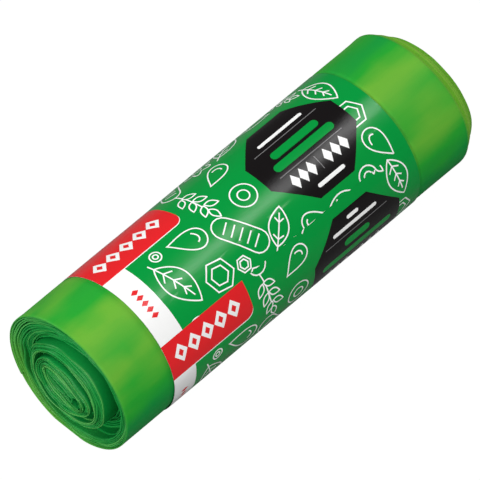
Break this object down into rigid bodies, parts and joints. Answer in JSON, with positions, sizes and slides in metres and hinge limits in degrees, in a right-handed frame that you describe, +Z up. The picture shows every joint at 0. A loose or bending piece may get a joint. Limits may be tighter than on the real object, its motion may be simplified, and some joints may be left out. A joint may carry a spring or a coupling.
{
  "type": "bin bag roll",
  "caption": "Soft roll of thin green plastic bin bags lying on its side, wound flat with no core, telescoped ends, held by a printed sleeve band.",
  "frame": {"origin": "on the floor under the middle of the roll: the centre of the bottom of its box", "axes": "+X along the roll, from the end whose middle is sunk in (the end the picture shows) to the end whose slack turns stand out; +Z up, away from the flat spot; +Y completes the frame, on the side away from the band's glued lap, whose free edge lies on the upper -Y side"},
  "size_m": [0.1588, 0.05, 0.0493],
  "materials": {
    "bag_film": "satin green polyethylene film, lighter and darker in streaks",
    "printed_band": "gloss printed film sleeve, green with red, white and black fields"
  },
  "bodies": {
    "root": {"bag_roll": "bag_film", "label_band": "printed_band"}
  },
  "joints": []
}
